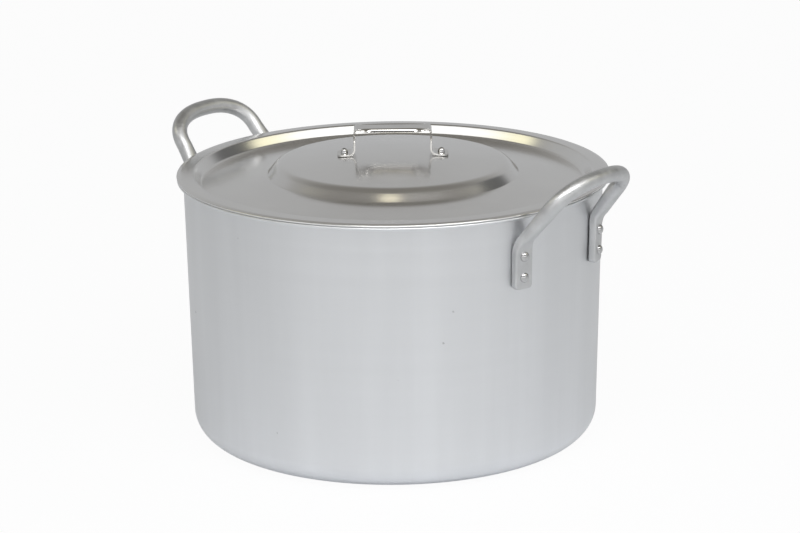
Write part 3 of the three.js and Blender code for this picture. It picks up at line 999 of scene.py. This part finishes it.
@dataclass
class SideHandle:
    """A loop of round bar whose ends are forged flat and riveted to the wall."""

    pot: PotBody
    side: Side
    bar_radius: float = 7.4 * MM
    tab_width: float = 19.3 * MM
    tab_thickness: float = 7.8 * MM
    tab_length: float = 43 * MM
    tab_corner: float = 4 * MM
    tab_edge: float = 1.3 * MM
    tab_squareness: float = 6.0
    seat_gap: float = 0.3 * MM
    span: float = 116.5 * MM
    bend_below_rim: float = 25.2 * MM
    bend_reach: float = 9 * MM
    tilt: float = math.radians(38.9)
    leg_lean: float = math.radians(7.5)
    leg_length: float = 39 * MM
    loop_height: float = 33.6 * MM
    loop_power: float = 0.84
    rivet_end_distance: float = 11.2 * MM
    rivet_spacing: float = 19.6 * MM
    around: int = 48
    corner_steps: int = 12
    tab_steps: int = 10
    bend_steps: int = 16
    leg_steps: int = 12
    loop_steps: int = 28
    rivets: RivetSizes = field(
        default_factory=lambda: RivetSizes(4.7 * MM, 3.4 * MM, 2.6 * MM, 11.6 * MM, 5.5 * MM, 1.8 * MM)
    )

    @property
    def turn(self) -> Matrix:
        """The turn from the right side to the handle's own side."""
        return Matrix.Rotation(self.side.value, 3, "Z")

    def tab(self, end: int) -> tuple[Vector, Vector, Vector, Vector]:
        """Places one tab of the handle as it is on the right side.

        Args:
            end: 1 or -1 for the tab at the rear or the front.

        Returns:
            Where its middle line meets the leg, where it ends, the way up and the way out.
        """
        height = self.pot.height - self.bend_below_rim
        lift = self.seat_gap + self.tab_thickness / 2
        angle = end * math.asin(self.span / 2 / (self.pot.wall_radius(height) + lift))
        radial, up, out = self.pot.wall_frame(angle)
        bend = radial * self.pot.wall_radius(height) + UP * height + out * lift
        return bend, bend - up * self.tab_length, up, out

    def half_line(self) -> list[Station]:
        """Follows half of the middle line, from a tab's end to the top of the loop.

        Returns:
            For each station its place, the way through it, how round it is and how far it is from the
            tab's end. Past the tab's corner that distance no longer counts.
        """
        bend, end, up, out = self.tab(1)
        plane = Vector((math.sin(self.tilt), 0.0, math.cos(self.tilt)))
        through = Vector((math.cos(self.tilt), 0.0, -math.sin(self.tilt)))
        leg = plane * math.cos(self.leg_lean) - Vector((0.0, 1.0, 0.0)) * math.sin(self.leg_lean)
        far = self.tab_length
        stations: list[Station] = []
        for k in range(self.corner_steps + 1):
            distance = self.tab_corner * (1 - math.cos(k / self.corner_steps * math.pi / 2))
            stations.append((end + up * distance, out, 0.0, distance))
        straight = self.tab_length - self.bend_reach
        for k in range(1, self.tab_steps):
            distance = mix(self.tab_corner, straight, k / self.tab_steps)
            stations.append((end + up * distance, out, 0.0, far))
        start, finish = bend - up * self.bend_reach, bend + leg * self.bend_reach
        for k in range(self.bend_steps + 1):
            share = k / self.bend_steps
            at = start.lerp(bend, share).lerp(bend.lerp(finish, share), share)
            stations.append((at, out.lerp(through, share).normalized(), share**2 / 2, far))
        for k in range(1, self.leg_steps + 1):
            share = k / self.leg_steps
            at = bend + leg * mix(self.bend_reach, self.leg_length, share)
            stations.append((at, through, (1 + share) / 2, far))
        foot = bend + leg * self.leg_length
        for k in range(1, self.loop_steps + 1):
            angle = k / self.loop_steps * math.pi / 2
            at = foot + plane * (self.loop_height * math.sin(angle) ** self.loop_power)
            at.y = 0.0 if k == self.loop_steps else foot.y * math.cos(angle) ** self.loop_power
            stations.append((at, through, 1.0, far))
        return stations

    def stations(self) -> Mesh:
        """Turns the middle line into stations that carry their section.

        Returns:
            The mesh of stations, with both tabs closed at their ends.
        """
        half = self.half_line()
        flip = Matrix.Diagonal((1.0, -1.0, 1.0))
        line = half + [(flip @ at, flip @ thick, r, d) for at, thick, r, d in reversed(half[:-1])]
        places = [station[0] for station in line]
        rows: dict[str, list] = {
            key: [] for key in ("across", "through", "half_width", "half_depth", "power")
        }
        for along, (_, thick, roundness, distance) in zip(ways(places), line):
            through = (thick - along * thick.dot(along)).normalized()
            half_width = self.tab_width / 2 - round_cut(self.tab_corner, distance)
            half_depth = self.tab_thickness / 2 - round_cut(self.tab_edge, distance)
            rows["across"].append(along.cross(through))
            rows["through"].append(through)
            rows["half_width"].append(mix(half_width, self.bar_radius, roundness))
            rows["half_depth"].append(mix(half_depth, self.bar_radius, roundness))
            rows["power"].append(mix(2 / self.tab_squareness, 1.0, roundness))
        for end in (0, -1):
            spot = 0 if end == 0 else len(places)
            closing = {key: row[end] for key, row in rows.items()}
            closing["half_width"] = closing["half_depth"] = 0.0
            places.insert(spot, places[end].copy())
            for key, row in rows.items():
                row.insert(spot, closing[key])
        for key in ("across", "through"):
            rows[key] = [self.turn @ vector for vector in rows[key]]
        return station_mesh("handle_stations", [self.turn @ place for place in places], rows)

    def rivet_seats(self) -> list[Seat]:
        """Finds where the rivets pass on the outer faces of the tabs.

        Returns:
            For each rivet, a point under its head and its axis outward.
        """
        seats = []
        for end in (-1, 1):
            _, low, up, out = self.tab(end)
            for row in (0, 1):
                point = low + up * (self.rivet_end_distance + row * self.rivet_spacing)
                seats.append((self.turn @ (point + out * (self.tab_thickness / 2)), self.turn @ out))
        return seats

    def build(self, shop: Workshop) -> None:
        """Builds and dresses the bar and its rivets.

        Args:
            shop: The shared trees and finishes.
        """
        label = self.side.label
        values = {"Around": self.around, "Finish": shop.finishes["bar_forged"]}
        bar = grown(f"side_handle_{label}_bar", self.stations(), shop.trees["forged_bar"], values)
        shop.dress(bar, "bar_forged", "pot", [f"side_handle_{label}"])
        names = [f"side_rivet_{label}_{end}_{row}" for end in ("front", "rear") for row in ("low", "high")]
        self.rivets.row(shop, f"side_rivets_{label}", self.rivet_seats(), "pot", names)


# The lid


@dataclass
class Lid:
    """The spun lid: a lip over the rim, a channel inside it, a cone, a step and a low dome."""

    pot: PotBody
    turn: float = math.radians(38.6)
    seat_gap: float = 0.3 * MM
    sheet: float = 2 * MM
    overhang: float = 0.35 * MM
    lip_drop: float = 0.7 * MM
    lip_drop_run: float = 2.7 * MM
    lip_fall: float = 0.6 * MM
    lip_fillet: float = 2.8 * MM
    channel_clearance: float = 7.1 * MM
    channel_run: float = 7 * MM
    channel_depth: float = 8.5 * MM
    channel_fillet: float = 3.5 * MM
    cone_rise: float = 7.1 * MM
    step_radius: float = 120 * MM
    step_run: float = 9.9 * MM
    step_height: float = 10.5 * MM
    step_fillet: float = 1.6 * MM
    shoulder_fillet: float = 14 * MM
    dome_rise: float = 8.2 * MM
    dome_bend: float = 65 * MM
    dome_steps: int = 24
    around: int = 256

    @property
    def lip_top(self) -> float:
        """The height of the lip's upper face at its edge."""
        return self.pot.height + self.seat_gap + self.sheet

    @property
    def step_foot(self) -> float:
        """The height at which the step starts."""
        return self.lip_top - self.channel_depth + self.cone_rise

    @property
    def plateau_radius(self) -> float:
        """The radius at which the dome ends."""
        return self.step_radius - self.step_run

    @property
    def dome_steep(self) -> float:
        """The slope of the dome's outer part, which falls straight."""
        return self.dome_rise / (self.plateau_radius - self.dome_bend / 2)

    def dome_height(self, radius: float) -> float:
        """Finds the height of the dome, which is bent in the middle and falls straight further out.

        Args:
            radius: The distance from the lid's centre.

        Returns:
            The height of its upper face.
        """
        bent = min(radius, self.dome_bend)
        fall = self.dome_steep * (bent**2 / (2 * self.dome_bend) + radius - bent)
        return self.step_foot + self.step_height + self.dome_rise - fall

    def dome_slope(self, radius: float) -> float:
        """The slope of the dome at a radius."""
        return -self.dome_steep * min(1.0, radius / self.dome_bend)

    def section(self) -> list[Vector]:
        """Draws the section: the upper face from centre to edge, then the lower face back.

        Returns:
            The points of radius and height.
        """
        inner = self.pot.radius - self.pot.wall - self.channel_clearance
        edge = self.pot.radius + self.pot.flange_width + self.overhang - self.sheet / 2
        # The dome's last two points are left to the shoulder's fillet.
        radii = [k / self.dome_steps * self.plateau_radius for k in range(self.dome_steps - 1)]
        upper = filleted([
            *(Corner(radius, self.dome_height(radius)) for radius in radii),
            Corner(self.plateau_radius, self.step_foot + self.step_height, self.shoulder_fillet),
            Corner(self.step_radius, self.step_foot, self.step_fillet),
            Corner(inner - self.channel_run, self.lip_top - self.channel_depth, self.channel_fillet),
            Corner(inner, self.lip_top + self.lip_drop + self.lip_fall, self.lip_fillet),
            Corner(edge - self.lip_drop_run, self.lip_top + self.lip_drop, self.lip_fillet),
            Corner(edge, self.lip_top),
        ], turn_step=math.radians(4), run_step=5 * MM)
        lower = beside(upper, self.sheet)
        return [*upper, *edge_round(edge, self.lip_top, self.sheet), *reversed(lower)]

    def build(self, shop: Workshop) -> None:
        """Builds and dresses the lid.

        Args:
            shop: The shared trees and finishes.
        """
        mesh = section_mesh("lid_section", self.section())
        values = {"Around": self.around, "Turn": self.turn, "Finish": shop.finishes["lid_polished"]}
        piece = grown("lid_spun", mesh, shop.trees["spun_sheet"], values)
        shop.dress(piece, "lid_polished", "lid", ["lid"])


@dataclass
class LidStrap:
    """The bent strap on the lid, with feet along the dome and a grip whose edges are folded down."""

    lid: Lid
    width: float = 23.5 * MM
    thickness: float = 1.8 * MM
    edge_radius: float = 0.2 * MM
    height: float = 26.7 * MM
    grip_length: float = 74.5 * MM
    grip_bend: float = 3.2 * MM
    foot_bend: float = 6 * MM
    foot_span: float = 106.2 * MM
    foot_corner: float = 7 * MM
    fold_from: float = 8 * MM
    fold_bend: float = 1.8 * MM
    fold_turn: float = math.radians(70)
    fold_least: float = 1e-6
    fold_blend: float = 14 * MM
    rivet_span: float = 92.2 * MM
    corner_steps: int = 14
    flat_steps: int = 40
    edge_steps: int = 4
    rivets: RivetSizes = field(
        default_factory=lambda: RivetSizes(3.5 * MM, 4.4 * MM, 1.7 * MM, 4.2 * MM, 3.6 * MM, 1.2 * MM)
    )

    @property
    def turn(self) -> Matrix:
        """The turn of the lid on its seat."""
        return Matrix.Rotation(self.lid.turn, 3, "Z")

    def path(self) -> list[Vector]:
        """Follows the strap's middle line in its own upright plane.

        Returns:
            The points from one foot's tip to the other's.
        """
        radius = self.rivet_span / 2
        slope = self.lid.dome_slope(radius)
        lift = (self.lid.seat_gap + self.thickness / 2) * math.hypot(1, slope)

        def foot(x: float) -> float:
            """The height of a foot's middle line at a distance from the centre."""
            return self.lid.dome_height(radius) + slope * (x - radius) + lift

        leg = (self.grip_length - self.thickness) / 2
        top = self.lid.dome_height(radius) + self.lid.seat_gap + self.height - self.thickness / 2
        shares = [1 - math.cos(k / self.corner_steps * math.pi / 2) for k in range(self.corner_steps + 1)]
        ends = [self.foot_span / 2 - self.foot_corner * share for share in shares]
        half = [Corner(x, foot(x)) for x in ends]
        half += [Corner(leg, foot(leg), self.foot_bend), Corner(leg, top, self.grip_bend)]
        mirrored = [Corner(-corner.across, corner.height, corner.fillet) for corner in reversed(half)]
        return filleted([*half, *mirrored], run_step=1.5 * MM)

    def ring(self, point: Vector, along: Vector) -> list[Vector]:
        """Draws the section at a point of the path.

        Args:
            point: The point, with its distance from the centre and its height.
            along: The way the path runs there.

        Returns:
            The points round the section.
        """
        from_tip = max(0.0, self.foot_span / 2 - abs(point.x))
        edge = self.edge_radius
        half_thickness = self.thickness / 2 - round_cut(edge, from_tip)
        half_flat = self.width / 2 - round_cut(self.foot_corner, from_tip) - edge
        straight = self.grip_length - self.thickness - 2 * self.grip_bend
        turn = self.fold_turn * smooth_share((straight / 2 - abs(point.x)) / self.fold_blend)
        flat = [half_flat * math.cos(math.pi * k / self.flat_steps) for k in range(self.flat_steps + 1)]
        quarter = [math.pi / 2 * k / self.edge_steps for k in range(self.edge_steps)]
        left = [
            (half_flat + edge * math.cos(a), half_thickness - edge + edge * math.sin(a)) for a in quarter
        ]
        row = [*left, *((y, half_thickness) for y in flat), *((-y, reach) for y, reach in reversed(left))]
        points = []
        for face, line in ((1, row), (-1, row[::-1])):
            for y, reach in line:
                side, out = self.folded(y, face * reach, turn)
                points.append(Vector((point.x + along.y * out, side, point.y - along.x * out)))
        return points

    def folded(self, across: float, reach: float, turn: float) -> tuple[float, float]:
        """Folds the long edges of the section down.

        Args:
            across: The distance from the middle of the flat strip.
            reach: The distance above its middle line.
            turn: How far the edges are folded.

        Returns:
            The distance from the middle and the height after folding.
        """
        past = max(0.0, abs(across) - self.fold_from)
        bent = min(past, self.fold_bend)
        angle = turn * bent / self.fold_bend
        if angle < self.fold_least:
            return across, reach
        radius = self.fold_bend / turn
        side = self.fold_from + radius * math.sin(angle) + (past - bent) * math.cos(angle)
        fall = radius * (1 - math.cos(angle)) + (past - bent) * math.sin(angle)
        return math.copysign(side + reach * math.sin(angle), across), reach * math.cos(angle) - fall

    def rivet_seats(self) -> list[Seat]:
        """Finds where the rivets pass on the upper faces of the feet.

        Returns:
            For each rivet, a point under its head and its axis upward.
        """
        radius = self.rivet_span / 2
        lift = self.lid.seat_gap + self.thickness
        seats = []
        for end in (1, -1):
            axis = Vector((-end * self.lid.dome_slope(radius), 0.0, 1.0)).normalized()
            point = Vector((end * radius, 0.0, self.lid.dome_height(radius)))
            seats.append((self.turn @ (point + axis * lift), self.turn @ axis))
        return seats

    def build(self, shop: Workshop) -> None:
        """Builds and dresses the strap and its rivets.

        Args:
            shop: The shared trees and finishes.
        """
        path = self.path()
        rings = [self.ring(point, along) for point, along in zip(path, ways(path))]
        count = len(rings[0])
        last = (len(rings) - 1) * count
        faces = []
        for low in range(0, last, count):
            high = low + count
            for j in range(count):
                k = (j + 1) % count
                faces.append((low + j, low + k, high + k, high + j))
        faces += [tuple(range(count)), tuple(range(last, last + count))]
        mesh = bpy.data.meshes.new("lid_strap")
        mesh.from_pydata([tuple(self.turn @ corner) for ring in rings for corner in ring], [], faces)
        shop.dress(kept("lid_strap", mesh), "strap_bright", "lid", ["lid_handle"])
        self.rivets.row(shop, "lid_rivets", self.rivet_seats(), "lid", ["lid_rivet_a", "lid_rivet_b"])


# The studio


LAMP_WARM: Colour = (1.0, 0.91, 0.64)


@dataclass(frozen=True)
class Softbox:
    """A soft lamp. Its place is to the camera's right of the pot, beyond the pot and above the floor."""

    name: str
    place: Triple
    size: Span
    radiance: float
    colour: Colour = WHITE
    shape: LampShape = LampShape.PANEL


@dataclass
class Studio:
    """The pale floor, the soft lamps, the grey room that the metal mirrors, and the camera."""

    image: tuple[int, int] = (800, 533)
    focal_pixels: float = 3000.0
    sensor: float = 36.0
    azimuth: float = math.radians(38.6)
    elevation: float = math.radians(16.56)
    roll: float = math.radians(-0.55)
    distance: float = 2.9005
    target: Vector = field(default_factory=lambda: Vector((0.0, 0.0, 0.12)))
    target_pixel: Span = (394.408, 305.922)
    floor_radius: float = 14.0
    floor_sides: int = 96
    floor_colour: Colour = (0.8, 0.82, 0.855)
    floor_roughness: float = 0.9
    floor_glow: float = 0.95
    floor_mirror: float = 0.2
    # The colours of the room and of its side behind the camera, by elevation in degrees.
    room: tuple[tuple[float, Colour], ...] = (
        (0.0, (0.5, 0.505, 0.515)),
        (27.0, (0.46, 0.46, 0.46)),
        (34.0, (0.37, 0.365, 0.355)),
        (40.0, (0.33, 0.325, 0.31)),
        (55.0, (0.23, 0.22, 0.205)),
        (90.0, (0.21, 0.2, 0.18)),
    )
    front: tuple[tuple[float, Colour], ...] = (
        (0.0, (1.25, 1.25, 1.25)),
        (17.0, (1.25, 1.25, 1.25)),
        (22.0, (0.22, 0.22, 0.22)),
        (40.0, (0.2, 0.195, 0.185)),
        (90.0, (0.21, 0.2, 0.18)),
    )
    front_span: Span = (0.3, 0.75)
    shade_azimuth: float = math.radians(122)
    shade_elevation: float = math.radians(27)
    shade_span: Span = (0.93, 0.99)
    shade_colour: Colour = (0.13, 0.13, 0.13)
    arch_lean: float = math.radians(19.9)
    arch_rise: Span = (0.42, 0.5)
    arch_fade: Span = (0.65, 0.7)
    arch_reach: Span = (0.15, 0.3)
    arch_colour: Colour = (1.6, 1.6, 1.6)
    arch_end_colour: Colour = (1.4, 1.33, 0.95)
    arch_end_span: Span = (-0.3, 0.1)
    lamp_target: Vector = field(default_factory=lambda: Vector((0.0, 0.0, 0.25)))
    lamps: tuple[Softbox, ...] = (
        Softbox("front_softbox", (0.2, -0.72, 1.08), (1.2, 0.32), 5.6),
        Softbox("ceiling_lamp", (-0.13, -1.45, 4.0), (0.9, 0.42), 0.74, LAMP_WARM, LampShape.OVAL),
        Softbox("ceiling_halo", (-0.13, -1.45, 4.02), (1.4, 0.42), 0.42, LAMP_WARM, LampShape.OVAL),
    )

    def back(self, azimuth: float, elevation: float) -> Vector:
        """The direction from the target towards an azimuth and an elevation, in radians."""
        level = math.cos(elevation)
        return Vector((math.sin(azimuth) * level, -math.cos(azimuth) * level, math.sin(elevation)))

    def set_camera(self) -> None:
        """Makes the camera and aims it so that the target lands on its pixel."""
        back = self.back(self.azimuth, self.elevation)
        right = Vector((math.cos(self.azimuth), math.sin(self.azimuth), 0.0))
        up = back.cross(right)
        across = self.target_pixel[0] - self.image[0] / 2
        above = self.image[1] / 2 - self.target_pixel[1]
        cos, sin = math.cos(self.roll), math.sin(self.roll)
        u, v = across * cos - above * sin, across * sin + above * cos
        axis = (-back * self.focal_pixels - right * u - up * v).normalized()
        level = axis.cross(UP).normalized()
        upright = level.cross(axis)
        x_axis = level * cos + upright * sin
        y_axis = upright * cos - level * sin
        data = bpy.data.cameras.new("photo_camera")
        data.sensor_fit = "HORIZONTAL"
        data.sensor_width = self.sensor
        data.lens = self.sensor * self.focal_pixels / self.image[0]
        camera = bpy.data.objects.new("photo_camera", data)
        bpy.context.scene.collection.objects.link(camera)
        camera.matrix_world = Matrix((x_axis, y_axis, -axis)).transposed().to_4x4()
        camera.location = self.target + back * self.distance
        bpy.context.scene.camera = camera

    def lay_floor(self) -> None:
        """Lays the pale floor, which shows white with a soft shadow."""
        mesh = bpy.data.meshes.new("floor")
        work = bmesh.new()
        bmesh.ops.create_circle(work, cap_ends=True, segments=self.floor_sides, radius=self.floor_radius)
        work.to_mesh(mesh)
        work.free()
        floor = bpy.data.objects.new("floor", mesh)
        bpy.context.scene.collection.objects.link(floor)
        material = bpy.data.materials.new("floor_pale")
        material.use_nodes = True
        tree = material.node_tree
        shader = tree.nodes["Principled BSDF"]
        shader.inputs["Base Color"].default_value = opaque(self.floor_colour)
        shader.inputs["Roughness"].default_value = self.floor_roughness
        shader.inputs["Specular IOR Level"].default_value = 0.0
        ray = add(tree, "ShaderNodeLightPath", {}).outputs
        seen = math_node(tree, "MULTIPLY", ray["Is Camera Ray"], self.floor_glow)
        mirrored = math_node(tree, "MAXIMUM", ray["Is Glossy Ray"], ray["Is Transmission Ray"])
        white = math_node(tree, "MAXIMUM", seen, math_node(tree, "MULTIPLY", mirrored, self.floor_mirror))
        glow = add(tree, "ShaderNodeEmission", {})
        feeds = {"Fac": white, 1: shader.outputs["BSDF"], 2: glow.outputs["Emission"]}
        blend = add(tree, "ShaderNodeMixShader", feeds)
        link(tree, blend.outputs["Shader"], tree.nodes["Material Output"].inputs["Surface"])
        mesh.materials.append(material)

    def light_room(self) -> None:
        """Lights the room: grey walls with a bright strip, a dark panel and an arch, white for the camera."""
        world = bpy.data.worlds.new("studio_room")
        bpy.context.scene.world = world
        world.use_nodes = True
        tree = world.node_tree
        ground = tree.nodes["Background"]
        direction = add(tree, "ShaderNodeTexCoord", {}).outputs["Generated"]
        parts = add(tree, "ShaderNodeSeparateXYZ", {0: direction})
        height = math_node(tree, "MULTIPLY_ADD", parts.outputs["Z"], 0.5, 0.5)
        toward = self.back(self.azimuth, 0.0)
        facing = span_node(tree, self.along(tree, direction, toward), self.front_span, RISING)
        room, front = (self.by_height(tree, height, stops) for stops in (self.room, self.front))
        walls = mixed(tree, facing, room, front)
        shade = self.back(self.azimuth + self.shade_azimuth, self.shade_elevation)
        shaded = span_node(tree, self.along(tree, direction, shade), self.shade_span, RISING)
        walls = mixed(tree, shaded, walls, opaque(self.shade_colour))
        lean = -toward * math.sin(self.arch_lean) + UP * math.cos(self.arch_lean)
        rise = self.along(tree, direction, lean)
        starts = span_node(tree, rise, self.arch_rise, RISING)
        stops = span_node(tree, rise, self.arch_fade, FALLING)
        band = math_node(tree, "MULTIPLY", starts, stops)
        behind = self.along(tree, direction, -toward)
        near = span_node(tree, behind, self.arch_reach, FALLING)
        ends = span_node(tree, behind, self.arch_end_span, RISING)
        glow = mixed(tree, ends, opaque(self.arch_colour), opaque(self.arch_end_colour))
        lit = mixed(tree, math_node(tree, "MULTIPLY", band, near), walls, glow)
        seen = add(tree, "ShaderNodeLightPath", {}).outputs["Is Camera Ray"]
        link(tree, mixed(tree, seen, lit, opaque(WHITE)), ground.inputs["Color"])
        for lamp in self.lamps:
            self.hang(lamp)

    def by_height(self, tree: Tree, height: Socket, stops: Sequence[tuple[float, Colour]]) -> Socket:
        """Adds a ramp of colours over the elevation of a direction.

        Args:
            tree: The world's tree.
            height: The socket with the direction's height from 0 to 1.
            stops: The elevation in degrees and the colour of each stop.

        Returns:
            The socket with the colour.
        """
        ramp = add(tree, "ShaderNodeValToRGB", {"Fac": height})
        elements = ramp.color_ramp.elements
        while len(elements) < len(stops):
            elements.new(1.0)
        for element, (elevation, colour) in zip(elements, stops):
            element.position = (math.sin(math.radians(elevation)) + 1) / 2
            element.color = opaque(colour)
        return ramp.outputs["Color"]

    def along(self, tree: Tree, direction: Socket, axis: Vector) -> Socket:
        """Adds a node that measures how far a direction points along an axis.

        Args:
            tree: The world's tree.
            direction: The socket with the direction.
            axis: The axis.

        Returns:
            The socket with the cosine of the angle between them.
        """
        node = add(tree, "ShaderNodeVectorMath", {0: direction, 1: axis}, operation="DOT_PRODUCT")
        return node.outputs["Value"]

    def hang(self, lamp: Softbox) -> None:
        """Hangs a softbox and aims it at the pot.

        Args:
            lamp: The softbox.
        """
        data = bpy.data.lights.new(lamp.name, "AREA")
        data.shape = lamp.shape.value
        data.size, data.size_y = lamp.size
        data.color = lamp.colour
        fill = math.pi / 4 if lamp.shape is LampShape.OVAL else 1.0
        data.energy = lamp.radiance * math.pi * fill * lamp.size[0] * lamp.size[1]
        item = bpy.data.objects.new(lamp.name, data)
        bpy.context.scene.collection.objects.link(item)
        item.location = Matrix.Rotation(self.azimuth, 3, "Z") @ Vector(lamp.place)
        item.rotation_mode = "QUATERNION"
        item.rotation_quaternion = (self.lamp_target - item.location).to_track_quat("-Z", "Y")

    def build(self) -> None:
        """Sets up the camera, the floor and the light."""
        bpy.context.scene.view_settings.view_transform = "Standard"
        self.set_camera()
        self.lay_floor()
        self.light_room()
        LOG.info("studio: %d lamps", len(self.lamps))


def main() -> None:
    """Builds the studio, the pot with its handles, and the lid with its strap."""
    logging.basicConfig(level=logging.INFO, format="%(message)s")
    Studio().build()
    shop = Workshop()
    shop.equip()
    pot = PotBody()
    pot.build(shop)
    for side in Side:
        SideHandle(pot, side).build(shop)
    lid = Lid(pot)
    lid.build(shop)
    LidStrap(lid).build(shop)


if __name__ == "__main__":
    main()
